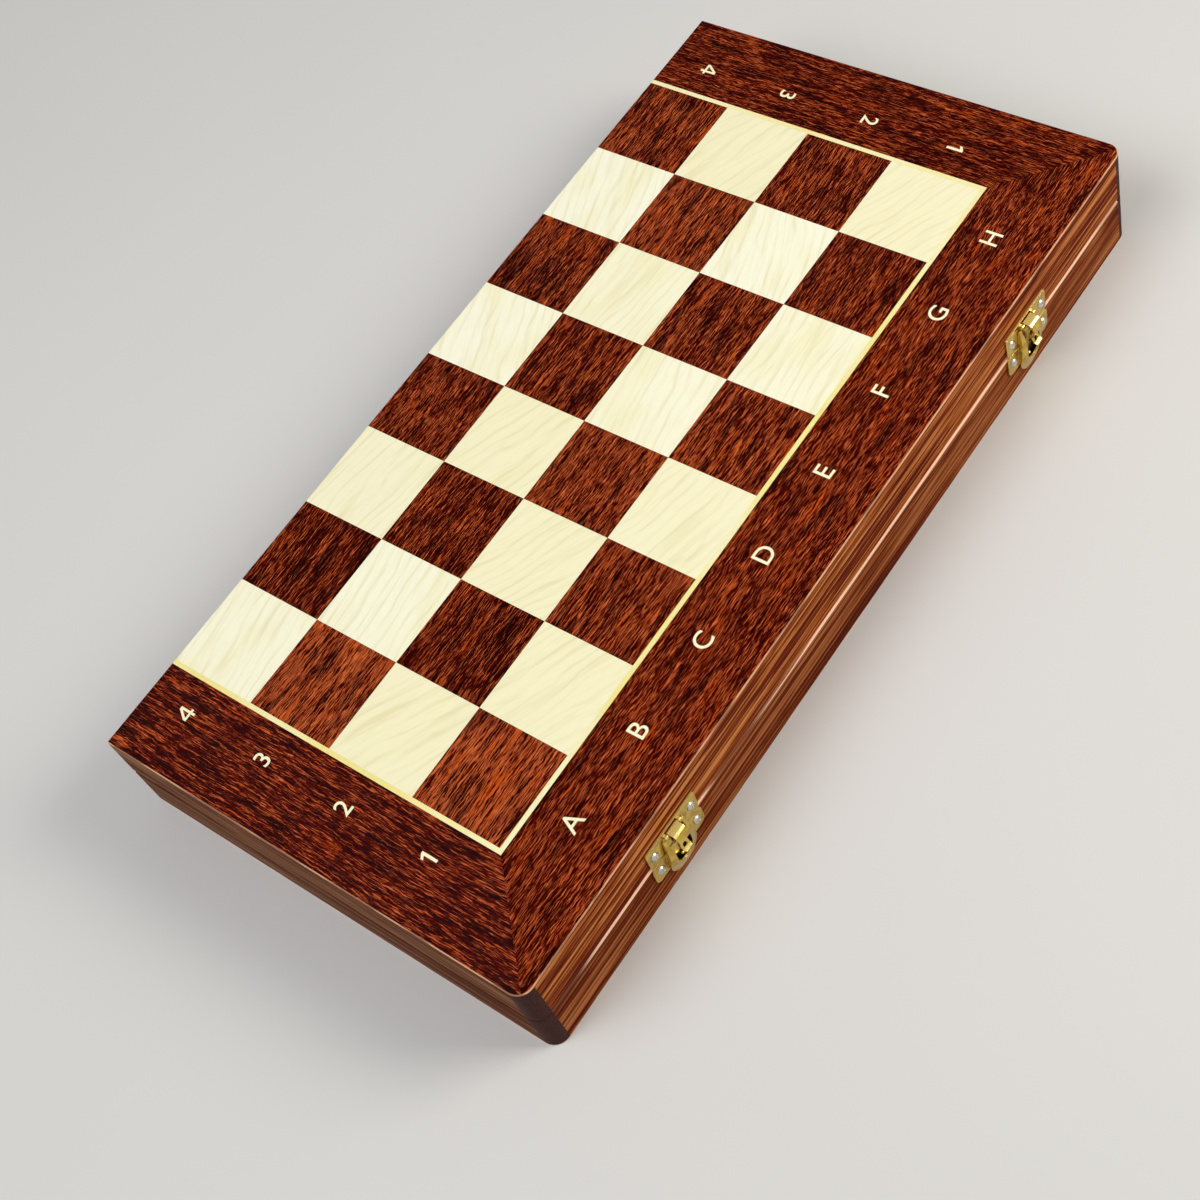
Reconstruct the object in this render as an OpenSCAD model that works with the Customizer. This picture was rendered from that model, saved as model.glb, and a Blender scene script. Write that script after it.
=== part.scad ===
// Folding chess case: two shallow half trays hinged along one long side.
// The outer faces of the two halves make the chess board when the case lies open.
// The file uses millimetres. X runs along the case, Y from the catches to the hinges, Z up.

/* [Case] */
// height of the closed case
case_h = 57; // [50:1:70]
// thickness of the four walls of each half
wall_t = 8; // [7:0.5:10]
// thickness of the board panel of each half
panel_t = 4; // [3:0.5:5]
// width of the step in the walls that takes the panel
rebate_w = 4; // [3:0.5:5]
// gap between the two rims of the closed case
parting_gap = 0.3; // [0.3:0.05:0.6]
// radius of the two upright corners on the catch side
corner_r = 7.5; // [3:0.5:9]
// rounding of the outer rim edges where the halves meet
rim_round = 1.4; // [0.4:0.2:2]
// bevel along the outer edges of the board faces
face_bevel = 0.5; // [0.2:0.1:0.6]

/* [Board] */
// side of one square
square_w = 49; // [42:1:58]
// thickness of the squares, the line and the border
veneer_t = 0.8; // [0.7:0.1:1.5]
// width of the light line round the squares
line_w = 2.4; // [1:0.2:4]
// width of the border outside the line
border_w = 46.6; // [30:0.2:60]
// corner cut that keeps squares of one colour apart
tile_nick = 0.08; // [0.05:0.01:0.2]

/* [Insert] */
// number of troughs side by side in each half
trough_count = 8; // [6:1:8]
// material left under a trough
trough_floor = 1.9; // [1.5:0.1:4]
// flare of the trough lips
lip_flare = 1.6; // [0.5:0.1:2.5]
// solid edge at both ends of a trough
insert_edge = 8; // [5:0.5:15]
// gap between the insert and the walls
insert_gap = 0.3; // [0.1:0.1:0.8]
// distance of the insert's face below the rim
insert_drop = 0.8; // [0.4:0.1:3]

/* [Hinges] */
// distance from an end of the case to the middle of the hinge near it
hinge_end = 95; // [60:1:130]
// length of one hinge
hinge_l = 42; // [30:1:60]
// outer radius of the hinge knuckles
knuckle_r = 2.4; // [2.1:0.1:2.6]
// radius of the hinge pin
hinge_pin_r = 1.1; // [0.8:0.05:1.2]
// thickness of the hinge leaves
leaf_t = 1.2; // [1:0.1:1.6]
// wood left between a leaf and the inner face of the wall
leaf_inset = 0.9; // [0.5:0.1:1.1]
// length of the hinge screws
hinge_screw_l = 10; // [6:1:14]
// head radius of the hinge screws
hinge_head_r = 1.8; // [1.5:0.1:1.8]

/* [Catches] */
// distance from an end of the case to the middle of the catch near it
catch_end = 97; // [50:1:140]
// width of the top plate
plate_w = 35.2; // [34:0.1:40]
// width of the lower plate over its two ears
ear_w = 36; // [34:0.1:40]
// thickness of the catch plates
plate_t = 0.9; // [0.8:0.1:1.2]
// distance of both plates from the meeting line
plate_rise = 0.6; // [0.3:0.1:1]
// height of the top plate
top_plate_h = 12.5; // [12.2:0.1:14]
// height of the two ears of the lower plate
ear_h = 12.4; // [12:0.1:15]
// rounding of the lower corners of the ears
ear_r = 3.5; // [2:0.5:6]
// distance of the ear screws below the upper edge of the ears
ear_screw_drop = 5.7; // [5:0.1:7]
// distance of the catch screws from the middle of the catch
screw_x = 13.4; // [13.2:0.1:14]
// head radius of the catch screws
head_r = 2.4; // [2:0.1:2.5]
// dome height of the catch screws
head_h = 1.5; // [1:0.1:2]
// shank radius of the catch screws
shank_r = 1; // [0.7:0.1:1.2]
// length of the catch screws in the wood
shank_l = 6; // [4:0.5:6.5]
// depth of the shield below the meeting line
shield_drop = 21.5; // [19:0.5:23]
// half width of the shield at its widest
shield_half = 9.6; // [9.2:0.1:10]
// how far the shield stands out from the front wall
shield_reach = 4.7; // [4.4:0.1:5]
// how far the strap stands out from the front wall
strap_reach = 7.4; // [7.2:0.1:8]
// sheet thickness of the shield and the strap
sheet_t = 0.9; // [0.7:0.05:1]
// radius of the strap pin
strap_pin_r = 0.6; // [0.4:0.05:0.7]

/* [Clearances] */
// radial gap between a pin and the part that turns on it
run_gap = 0.05; // [0.02:0.01:0.1]
// radial gap round screws and fixed pins
fix_gap = 0.04; // [0.03:0.01:0.06]
// gap between parts that pass each other
pass_gap = 0.35; // [0.3:0.05:0.5]

/* [Hidden] */
$fn = 64;
// Colours of the materials.
lower_wood = [0.4, 0.14, 0.06];
upper_wood = [0.48, 0.2, 0.08];
end_wood = [0.38, 0.14, 0.07];
panel_wood = [0.7, 0.52, 0.34];
border_wood = [0.3, 0.08, 0.04];
line_wood = [0.9, 0.85, 0.62];
dark_wood = [0.28, 0.08, 0.04];
light_wood = [0.92, 0.88, 0.74];
green_pile = [0.05, 0.22, 0.13];
hinge_brass = [0.8, 0.6, 0.25];
pin_brass = [0.75, 0.56, 0.22];
screw_steel = [0.75, 0.74, 0.7];
catch_brass = [0.83, 0.66, 0.25];
eps = 0.5;
// The case grows with its squares, line and border.
field_l = 8 * square_w;
field_w = 4 * square_w;
case_l = field_l + 2 * (line_w + border_w);
case_w = field_w + line_w + border_w;
front_y = -case_w / 2;
back_y = case_w / 2;
left_x = -case_l / 2;
field_y = back_y - field_w;
meet_z = case_h / 2;
rim_z = meet_z - parting_gap / 2;
tray_floor = veneer_t + panel_t;
edge_r = min(corner_r, wall_t - 0.4);
step_w = min(rebate_w, wall_t - 3);
// Inside of a tray and the insert in it.
inner_l = case_l - 2 * wall_t;
inner_w = case_w - 2 * wall_t;
insert_l = inner_l - 2 * insert_gap;
insert_w = inner_w - 2 * insert_gap;
insert_top = rim_z - insert_drop;
trough_pitch = insert_l / trough_count;
trough_r = min(insert_top - tray_floor - trough_floor, trough_pitch / 2 - lip_flare - 2);
trough_l = insert_w - 2 * insert_edge;
// Hinge axis: just behind the back faces, in the meeting plane.
hinge_y = back_y + parting_gap / 2;
plate_gap = parting_gap / 2;
knuckle_n = 5;
knuckle_l = hinge_l / knuckle_n;
leaf_l = hinge_l - pass_gap;
leaf_w = wall_t - leaf_inset + parting_gap / 2;
clear_r = knuckle_r + pass_gap;
hinge_screw_x = hinge_l / 2 - knuckle_l / 2;
hinge_screw_y = -(clear_r + leaf_w) / 2;
hinge_shank_r = 1;
head_cone = 0.9;
hinge_x = case_l / 2 - hinge_end;
catch_x = case_l / 2 - catch_end;
// Catch, measured outward from the front face and up from the meeting plane.
strap_pin_d = 2;
strap_knuckle_r = strap_pin_r + 0.7;
plate_top = plate_rise + top_plate_h;
window_band = 0.85;
strap_pin_z = plate_top - window_band - pass_gap - strap_knuckle_r;
strap_half = 3.6;
strap_foot_half = 2.5;
tongue_half = 1.15;
window_half = strap_half + 0.5;
lug_t = 1.6;
shield_top = strap_pin_z - strap_knuckle_r - pass_gap;
shield_top_half = 7.4;
shield_belly_z = -11;
shield_crown_z = -4;
shield_bow_r = 47.8;
shield_side_r = 28;
shield_tip_r = 1.1 * shield_half;
tip_cut = 0.6;
shield_span = ear_w + 4;
slot_top_half = shield_top_half - sheet_t - 0.6;
slot_half = 5.3;
slot_end = shield_drop - 8;
bead_r = 1.3;
bead_h = 0.9;
low_screw_z = -plate_rise - ear_screw_drop;
top_screw_z = plate_rise + top_plate_h / 2;
// Middle of the strap's sheet, outward and upward, with the steps from bend to bend.
belly_r = 5.8;
belly_fall = 3.6;
belly_top = 36;
belly_low = 42;
bend_inset = 2.5;
bend_fall = 0.35;
elbow_step = [-1.4, -1.8];
tab_step = [1.75, -3.6];
lip_step = [1.25, -0.6];
tongue_fall = 5;
tab_corner = 0.8;
belly_d = strap_reach - sheet_t / 2 - belly_r;
belly_z = strap_pin_z - belly_fall;
knuckle_point = [plate_t + sheet_t, strap_pin_z + strap_knuckle_r - sheet_t / 2];
top_bend = [strap_reach - bend_inset, knuckle_point[1] - bend_fall];
belly_start = [belly_d + belly_r * cos(belly_top), belly_z + belly_r * sin(belly_top)];
belly_end = [belly_d + belly_r * cos(belly_low), belly_z - belly_r * sin(belly_low)];
elbow = belly_end + elbow_step;
tab_bend = elbow + tab_step;
tab_tip = tab_bend + lip_step;
tongue_tip = [plate_t + pass_gap + 1, elbow[1] - tongue_fall];

// ---------- helpers ----------

// Turns a profile drawn in Y and Z into a bar along X, centred.
module along_x(length) {
    rotate([90, 0, 90])
        linear_extrude(length, center = true)
            children();
}

// Turns an outline drawn in X and Z into a plate from depth d0 out to depth d1.
module outward(d0, d1) {
    translate([0, -d0, 0])
        rotate([90, 0, 0])
            linear_extrude(d1 - d0)
                children();
}

// Flips the children about the meeting plane.
module flip_up() {
    translate([0, 0, meet_z])
        mirror([0, 0, 1])
            translate([0, 0, -meet_z])
                children();
}

// A cylinder along X, centred on its axis.
module bar_x(radius, length) {
    rotate([0, 90, 0])
        cylinder(r = radius, h = length, center = true);
}

// ---------- outer form of one half ----------

// Plan of a half: rounded at the catch side, square at the hinge side.
module half_plan() {
    translate([left_x, front_y + edge_r])
        square([case_l, case_w - edge_r]);
    translate([left_x + edge_r, front_y])
        square([case_l - 2 * edge_r, edge_r + 1]);
    for (side = [-1, 1])
        translate([side * (case_l / 2 - edge_r), front_y + edge_r])
            circle(r = edge_r);
}

// What is taken off an edge: the origin is the sharp corner, the wood lies at -X and -Y.
module round_cut(size) {
    difference() {
        translate([-size, -size])
            square(size + eps);
        translate([-size, -size])
            circle(r = size);
    }
}

// Bevel for the same place.
module bevel_cut(size) {
    polygon([[-size, 0], [0, -size], [eps, -size], [eps, eps], [-size, eps]]);
}

// Carries an edge cut round the catch side and both ends of a half.
module edge_run(level) {
    translate([0, front_y, level])
        rotate([90, 0, -90])
            linear_extrude(case_l - 2 * edge_r, center = true)
                children();
    for (side = [0, 1])
        mirror([side, 0, 0]) {
            translate([case_l / 2, edge_r / 2 + eps, level])
                rotate([90, 0, 0])
                    linear_extrude(case_w - edge_r + 2 * eps, center = true)
                        children();
            translate([case_l / 2 - edge_r, front_y + edge_r, level])
                rotate([0, 0, -90])
                    rotate_extrude(angle = 90)
                        translate([edge_r, 0])
                            children();
        }
}

// Solid outer form of the lower half: rounded rim above, small bevel below.
module half_form() {
    difference() {
        linear_extrude(rim_z)
            half_plan();
        edge_run(rim_z)
            round_cut(rim_round);
        mirror([0, 0, 1])
            edge_run(0)
                bevel_cut(face_bevel);
    }
}

// ---------- walls and panel of the lower half ----------

module panel_block() {
    inset = wall_t - step_w;
    translate([left_x + inset, front_y + inset, veneer_t])
        cube([case_l - 2 * inset, case_w - 2 * inset, panel_t]);
}

module end_rail(side) {
    difference() {
        intersection() {
            half_form();
            translate([side * (case_l / 2 - wall_t / 2) - wall_t / 2, front_y, veneer_t])
                cube([wall_t, case_w, case_h]);
        }
        panel_block();
    }
}

module front_rail() {
    difference() {
        intersection() {
            half_form();
            translate([left_x + wall_t, front_y, veneer_t])
                cube([inner_l, wall_t, case_h]);
        }
        panel_block();
    }
}

module back_rail() {
    difference() {
        translate([left_x + wall_t, back_y - wall_t, veneer_t])
            cube([inner_l, wall_t, rim_z - veneer_t]);
        panel_block();
        for (side = [-1, 1])
            translate([side * hinge_x, hinge_y, meet_z])
                hinge_mortise();
        hinge_screw_set(fix_gap);
    }
}

// ---------- board face of the lower half, seen from below ----------

module veneer_plate() {
    intersection() {
        half_form();
        linear_extrude(veneer_t)
            children();
    }
}

module border_front() {
    veneer_plate()
        polygon([
            [left_x, front_y], [-left_x, front_y],
            [-left_x - border_w, front_y + border_w],
            [left_x + border_w, front_y + border_w]
        ]);
}

module border_side(side) {
    veneer_plate()
        polygon([
            [side * case_l / 2, front_y],
            [side * case_l / 2, back_y],
            [side * (case_l / 2 - border_w), back_y],
            [side * (case_l / 2 - border_w), front_y + border_w]
        ]);
}

module line_frame() {
    linear_extrude(veneer_t) {
        for (side = [-1, 1])
            translate([side * (field_l + line_w) / 2 - line_w / 2, field_y - line_w])
                square([line_w, field_w + line_w]);
        translate([-field_l / 2 - line_w / 2, field_y - line_w])
            square([field_l + line_w, line_w]);
    }
}

module tile(col, row) {
    low = tile_nick;
    high = square_w - tile_nick;
    translate([col * square_w - field_l / 2, field_y + row * square_w, 0])
        linear_extrude(veneer_t)
            polygon([
                [low, 0], [high, 0], [square_w, low], [square_w, high],
                [high, square_w], [low, square_w], [0, high], [0, low]
            ]);
}

module tiles(parity) {
    for (col = [0:7], row = [0:3])
        if ((col + row) % 2 == parity)
            tile(col, row);
}

// ---------- insert ----------

// Section of a trough: a half round with flared lips.
module trough_plan() {
    intersection() {
        circle(r = trough_r);
        translate([-trough_r, -trough_r])
            square([2 * trough_r, trough_r + 0.01]);
    }
    translate([-trough_r, 0])
        square([2 * trough_r, eps]);
    polygon([
        [-trough_r - lip_flare, eps], [-trough_r - lip_flare, 0],
        [-trough_r + 0.01, -lip_flare * 1.6], [trough_r - 0.01, -lip_flare * 1.6],
        [trough_r + lip_flare, 0], [trough_r + lip_flare, eps]
    ]);
}

module insert_block() {
    difference() {
        translate([-insert_l / 2, -insert_w / 2, tray_floor])
            cube([insert_l, insert_w, insert_top - tray_floor]);
        for (i = [0:trough_count - 1])
            translate([(i + 0.5) * trough_pitch - insert_l / 2, 0, insert_top])
                rotate([90, 0, 0])
                    linear_extrude(trough_l, center = true)
                        trough_plan();
    }
}

// ---------- hinges, drawn round their own axis ----------

// Room for the knuckles and one leaf in the wall below the axis.
module hinge_mortise() {
    bar_x(clear_r, hinge_l + 2 * pass_gap);
    translate([-hinge_l / 2, -leaf_w, -plate_gap - leaf_t])
        cube([hinge_l, leaf_w + 1, leaf_t + 1]);
}

module knuckles(first, radius, extra) {
    for (i = [first:2:knuckle_n - 1])
        translate([(i + 0.5) * knuckle_l - hinge_l / 2, 0, 0])
            bar_x(radius, knuckle_l - pass_gap + 2 * extra);
}

// A leaf below the axis with the knuckles numbered from first.
module hinge_leaf(first, bore) {
    difference() {
        union() {
            difference() {
                translate([-leaf_l / 2, -leaf_w, -plate_gap - leaf_t])
                    cube([leaf_l, leaf_w, leaf_t]);
                knuckles(1 - first, clear_r, pass_gap);
            }
            knuckles(first, knuckle_r, 0);
        }
        bar_x(bore, hinge_l + 2);
        for (side = [-1, 1])
            translate([side * hinge_screw_x, hinge_screw_y, -plate_gap])
                hinge_screw(fix_gap);
    }
}

// Countersunk screw hanging down from the origin.
module hinge_screw(gap) {
    rotate_extrude()
        polygon([
            [0, gap > 0 ? 1 : -0.05],
            [hinge_head_r + gap, gap > 0 ? 1 : -0.05],
            [hinge_head_r + gap, -0.2],
            [hinge_shank_r + gap, -0.2 - head_cone],
            [hinge_shank_r + gap, 1 - hinge_screw_l],
            [0, -hinge_screw_l - gap]
        ]);
}

module hinge_screw_set(gap) {
    for (side = [-1, 1], end = [-1, 1])
        translate([
            side * hinge_x + end * hinge_screw_x,
            hinge_y + hinge_screw_y,
            meet_z - plate_gap
        ])
            difference() {
                hinge_screw(gap);
                if (gap == 0)
                    cross_slot(hinge_head_r * 0.62, 0.55);
            }
}

// Cross recess at the top of a screw head.
module cross_slot(half, depth) {
    for (turn = [0, 90])
        rotate([0, 0, turn])
            translate([-half, -0.25, -depth])
                cube([2 * half, 0.5, depth + 1]);
}

module hinge_pin() {
    bar_x(hinge_pin_r, leaf_l);
    for (side = [0, 1])
        mirror([side, 0, 0])
            translate([leaf_l / 2, 0, 0])
                rotate([0, 90, 0])
                    cylinder(r1 = hinge_pin_r + 0.4, r2 = hinge_pin_r, h = 0.5);
}

// ---------- catches, drawn round the middle of the catch ----------

module catch_place(side) {
    translate([side * catch_x, front_y, meet_z])
        children();
}

// A plate with its outer corners rounded by different radii above and below.
module eased_plate(width, z0, z1, r_low, r_high) {
    difference() {
        translate([-width / 2, z0])
            square([width, z1 - z0]);
        for (side = [0, 1])
            mirror([side, 0, 0]) {
                translate([width / 2, z0])
                    mirror([0, 1, 0])
                        corner_bite(r_low);
                translate([width / 2, z1])
                    corner_bite(r_high);
            }
    }
}

module corner_bite(radius) {
    difference() {
        translate([-radius, -radius])
            square(radius + 1);
        translate([-radius, -radius])
            circle(r = radius);
    }
}

// Shield with straight sides and a slightly rounded tip, shrunk all round by inset.
module shield_outline(inset) {
    half = shield_half - inset;
    top_half = shield_top_half - inset;
    reach = shield_drop + tip_cut + shield_belly_z - inset;
    bow = (half * half + reach * reach) / (2 * half);
    polygon([
        [-half, shield_belly_z], [-top_half, shield_top - inset],
        [top_half, shield_top - inset], [half, shield_belly_z],
        [half - 3, shield_belly_z - 3], [3 - half, shield_belly_z - 3]
    ]);
    intersection() {
        translate([bow - half, shield_belly_z])
            circle(r = bow);
        translate([half - bow, shield_belly_z])
            circle(r = bow);
        translate([-half, shield_belly_z - reach])
            square([2 * half, reach]);
        translate([0, shield_tip_r - shield_drop + inset])
            circle(r = shield_tip_r);
    }
}

// Room under a skin bowed lengthwise and across, lower millimetres below the outside.
module shield_bow(lower) {
    translate([0, shield_side_r - shield_reach, 0])
        rotate_extrude()
            intersection() {
                translate([shield_side_r - shield_bow_r, shield_crown_z])
                    circle(r = shield_bow_r - lower);
                translate([0, -shield_drop - 1])
                    square([shield_side_r, shield_drop + shield_top + 2]);
            }
}

// Opening down the front of the shield, wide above and rounded below.
module slot_outline() {
    polygon([
        [-slot_top_half, shield_top + 1], [-slot_top_half, shield_top - 2],
        [-slot_half, slot_half - slot_end], [slot_half, slot_half - slot_end],
        [slot_top_half, shield_top - 2], [slot_top_half, shield_top + 1]
    ]);
    translate([0, slot_half - slot_end])
        circle(r = slot_half);
}

// Lower plate: two ears, a shield-shaped back and the raised hollow shield.
module catch_shield() {
    difference() {
        union() {
            outward(0, plate_t)
                eased_plate(ear_w, -plate_rise - ear_h, -plate_rise, ear_r, 2.4);
            intersection() {
                outward(0, plate_t)
                    shield_outline(0);
                translate([-shield_span / 2, -plate_t, -shield_drop - 1])
                    cube([shield_span, plate_t, shield_drop + 1 - plate_rise]);
            }
            difference() {
                intersection() {
                    outward(0, shield_reach + 1)
                        shield_outline(0);
                    shield_bow(0);
                }
                intersection() {
                    outward(plate_t, shield_reach + 2)
                        shield_outline(sheet_t);
                    shield_bow(sheet_t);
                }
                outward(plate_t, shield_reach + 2)
                    slot_outline();
                translate([-shield_span / 2, -plate_t - pass_gap, -plate_rise])
                    cube([shield_span, plate_t + pass_gap + 1, shield_top + 2]);
            }
            translate([0, -plate_t, -slot_end - 1])
                rotate([90, 0, 0])
                    rotate_extrude()
                        dome_plan(bead_r, bead_h);
        }
        for (side = [-1, 1])
            translate([side * screw_x, 0, low_screw_z])
                rotate([90, 0, 0])
                    cylinder(r = shank_r + fix_gap, h = 3 * plate_t, center = true);
    }
}

// Top plate: a plate with a window and two small lugs that hold the strap pin.
module catch_top_plate() {
    difference() {
        union() {
            outward(0, plate_t)
                eased_plate(plate_w, plate_rise, plate_top, 2, 0.8);
            for (side = [-1, 1])
                translate([side * (window_half + lug_t / 2), 0, 0])
                    along_x(lug_t) {
                        translate([-strap_pin_d, strap_pin_z])
                            circle(r = strap_knuckle_r);
                        translate([-strap_pin_d, strap_pin_z - strap_knuckle_r])
                            square([strap_pin_d - 0.2, 2 * strap_knuckle_r]);
                    }
        }
        translate([-window_half, -plate_t - 1, strap_pin_z - strap_knuckle_r - pass_gap])
            cube([2 * window_half, plate_t + 2, 2 * (strap_knuckle_r + pass_gap)]);
        translate([0, -strap_pin_d, strap_pin_z])
            bar_x(strap_pin_r + fix_gap, plate_w);
        for (side = [-1, 1])
            translate([side * screw_x, 0, top_screw_z])
                rotate([90, 0, 0])
                    cylinder(r = shank_r + fix_gap, h = 3 * plate_t, center = true);
    }
}

module catch_pin() {
    reach = window_half + lug_t;
    translate([0, -strap_pin_d, strap_pin_z]) {
        bar_x(strap_pin_r, 2 * reach);
        for (side = [0, 1])
            mirror([side, 0, 0])
                translate([reach, 0, 0])
                    rotate([0, 90, 0])
                        cylinder(r1 = strap_pin_r + 0.25, r2 = strap_pin_r * 0.7, h = 0.45);
    }
}

// Sheet that follows a line of points, each given outward from the wall and upward.
module bent_sheet(points) {
    for (i = [0:len(points) - 1])
        translate([-points[i][0], points[i][1]])
            circle(r = sheet_t / 2);
    for (i = [0:len(points) - 2]) {
        run = points[i + 1] - points[i];
        translate([-points[i][0], points[i][1]])
            rotate(atan2(run[1], -run[0]))
                translate([0, -sheet_t / 2])
                    square([norm(run), sheet_t]);
    }
}

// Side view of the strap: rolled round its pin, out to a bend, round a belly, in to the elbow.
module strap_side() {
    translate([-strap_pin_d, strap_pin_z])
        circle(r = strap_knuckle_r);
    bent_sheet([knuckle_point, top_bend, belly_start]);
    bent_sheet([belly_end, elbow, tab_bend, tab_tip]);
    translate([-belly_d, belly_z])
        rotate(180 - belly_top)
            intersection() {
                difference() {
                    circle(r = belly_r + sheet_t / 2);
                    circle(r = belly_r - sheet_t / 2);
                }
                polygon([
                    [0, 0], [2 * belly_r, 0], [2 * belly_r, 2 * belly_r],
                    2 * belly_r * [cos(belly_top + belly_low), sin(belly_top + belly_low)]
                ]);
            }
}

// Front view of the strap: wide above, narrower towards the tab, with its corners cut.
module strap_outline() {
    waist = elbow[1] - 0.5;
    foot = tab_tip[1] - 1;
    for (side = [0, 1])
        mirror([side, 0])
            polygon([
                [-1, plate_top + 5], [strap_half, plate_top + 5],
                [strap_half, belly_end[1] + 1], [strap_foot_half, waist],
                [strap_foot_half, foot + 1.9], [strap_foot_half - tab_corner, foot], [-1, foot]
            ]);
}

module catch_strap() {
    middle = elbow + 0.62 * tab_step;
    difference() {
        union() {
            intersection() {
                along_x(4 * strap_half)
                    strap_side();
                outward(-5, 20)
                    strap_outline();
            }
            along_x(2 * tongue_half)
                bent_sheet([elbow, tongue_tip]);
        }
        translate([0, -strap_pin_d, strap_pin_z])
            bar_x(strap_pin_r + run_gap, plate_w);
        translate([0, -middle[0], middle[1]])
            rotate([atan2(tab_step[0], -tab_step[1]) + 90, 0, 0])
                cylinder(r = tongue_half + 0.1, h = 2 * sheet_t, center = true);
    }
}

// Round-head screw: the origin is under its head, the head points to -Y.
module catch_screw(gap) {
    rotate([90, 0, 0])
        difference() {
            union() {
                translate([0, 0, -shank_l - plate_t])
                    cylinder(r = shank_r + gap, h = shank_l + plate_t);
                rotate_extrude()
                    dome_plan(head_r, head_h);
            }
            translate([0, 0, head_h])
                cross_slot(head_r * 0.5, 0.6);
        }
}

module dome_plan(half, rise) {
    bow = (half * half + rise * rise) / (2 * rise);
    intersection() {
        translate([0, rise - bow])
            circle(r = bow);
        square([half, rise]);
    }
}

module catch_screw_set(level) {
    for (place = [-1, 1], side = [-1, 1])
        catch_place(place)
            translate([side * screw_x, -plate_t, level])
                catch_screw(0);
}

// Holes for the catch screws in a front wall.
module catch_screw_holes(level) {
    for (place = [-1, 1], side = [-1, 1])
        catch_place(place)
            translate([side * screw_x, -1, level])
                rotate([-90, 0, 0])
                    cylinder(r = shank_r + fix_gap, h = shank_l + 1.2);
}

// ---------- pieces of the lower half ----------

module lower_front_rail() {
    color(lower_wood)
        difference() {
            front_rail();
            catch_screw_holes(low_screw_z);
        }
}

module lower_back_rail() {
    color(lower_wood)
        back_rail();
}

module lower_left_rail() {
    color(end_wood)
        end_rail(-1);
}

module lower_right_rail() {
    color(end_wood)
        end_rail(1);
}

module lower_panel() {
    color(panel_wood)
        panel_block();
}

module lower_border_front() {
    color(border_wood)
        border_front();
}

module lower_border_left() {
    color(border_wood)
        border_side(-1);
}

module lower_border_right() {
    color(border_wood)
        border_side(1);
}

module lower_line() {
    color(line_wood)
        line_frame();
}

module lower_dark_squares() {
    color(dark_wood)
        tiles(1);
}

module lower_light_squares() {
    color(light_wood)
        tiles(0);
}

module lower_insert() {
    color(green_pile)
        insert_block();
}

// ---------- pieces of the upper half ----------

module upper_front_rail() {
    color(upper_wood)
        difference() {
            flip_up()
                front_rail();
            catch_screw_holes(top_screw_z);
        }
}

module upper_back_rail() {
    color(upper_wood)
        flip_up()
            back_rail();
}

module upper_left_rail() {
    color(end_wood)
        flip_up()
            end_rail(-1);
}

module upper_right_rail() {
    color(end_wood)
        flip_up()
            end_rail(1);
}

module upper_panel() {
    color(panel_wood)
        flip_up()
            panel_block();
}

module upper_border_front() {
    color(border_wood)
        flip_up()
            border_front();
}

module upper_border_left() {
    color(border_wood)
        flip_up()
            border_side(-1);
}

module upper_border_right() {
    color(border_wood)
        flip_up()
            border_side(1);
}

module upper_line() {
    color(line_wood)
        flip_up()
            line_frame();
}

module upper_dark_squares() {
    color(dark_wood)
        flip_up()
            tiles(0);
}

module upper_light_squares() {
    color(light_wood)
        flip_up()
            tiles(1);
}

module upper_insert() {
    color(green_pile)
        flip_up()
            insert_block();
}

// ---------- hinge pieces ----------

module hinge_place(side) {
    translate([side * hinge_x, hinge_y, meet_z])
        children();
}

module left_hinge_lower_leaf() {
    color(hinge_brass)
        hinge_place(-1)
            hinge_leaf(0, hinge_pin_r + fix_gap);
}

module left_hinge_upper_leaf() {
    color(hinge_brass)
        hinge_place(-1)
            mirror([0, 0, 1])
                hinge_leaf(1, hinge_pin_r + run_gap);
}

module left_hinge_pin() {
    color(pin_brass)
        hinge_place(-1)
            hinge_pin();
}

module right_hinge_lower_leaf() {
    color(hinge_brass)
        hinge_place(1)
            hinge_leaf(0, hinge_pin_r + fix_gap);
}

module right_hinge_upper_leaf() {
    color(hinge_brass)
        hinge_place(1)
            mirror([0, 0, 1])
                hinge_leaf(1, hinge_pin_r + run_gap);
}

module right_hinge_pin() {
    color(pin_brass)
        hinge_place(1)
            hinge_pin();
}

module lower_hinge_screws() {
    color(screw_steel)
        hinge_screw_set(0);
}

module upper_hinge_screws() {
    color(screw_steel)
        flip_up()
            hinge_screw_set(0);
}

// ---------- catch pieces ----------

module left_catch_shield() {
    color(catch_brass)
        catch_place(-1)
            catch_shield();
}

module left_catch_top_plate() {
    color(catch_brass)
        catch_place(-1)
            catch_top_plate();
}

module left_catch_pin() {
    color(pin_brass)
        catch_place(-1)
            catch_pin();
}

module left_catch_strap() {
    color(catch_brass)
        catch_place(-1)
            catch_strap();
}

module right_catch_shield() {
    color(catch_brass)
        catch_place(1)
            catch_shield();
}

module right_catch_top_plate() {
    color(catch_brass)
        catch_place(1)
            catch_top_plate();
}

module right_catch_pin() {
    color(pin_brass)
        catch_place(1)
            catch_pin();
}

module right_catch_strap() {
    color(catch_brass)
        catch_place(1)
            catch_strap();
}

module lower_catch_screws() {
    color(screw_steel)
        catch_screw_set(low_screw_z);
}

module upper_catch_screws() {
    color(screw_steel)
        catch_screw_set(top_screw_z);
}

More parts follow.
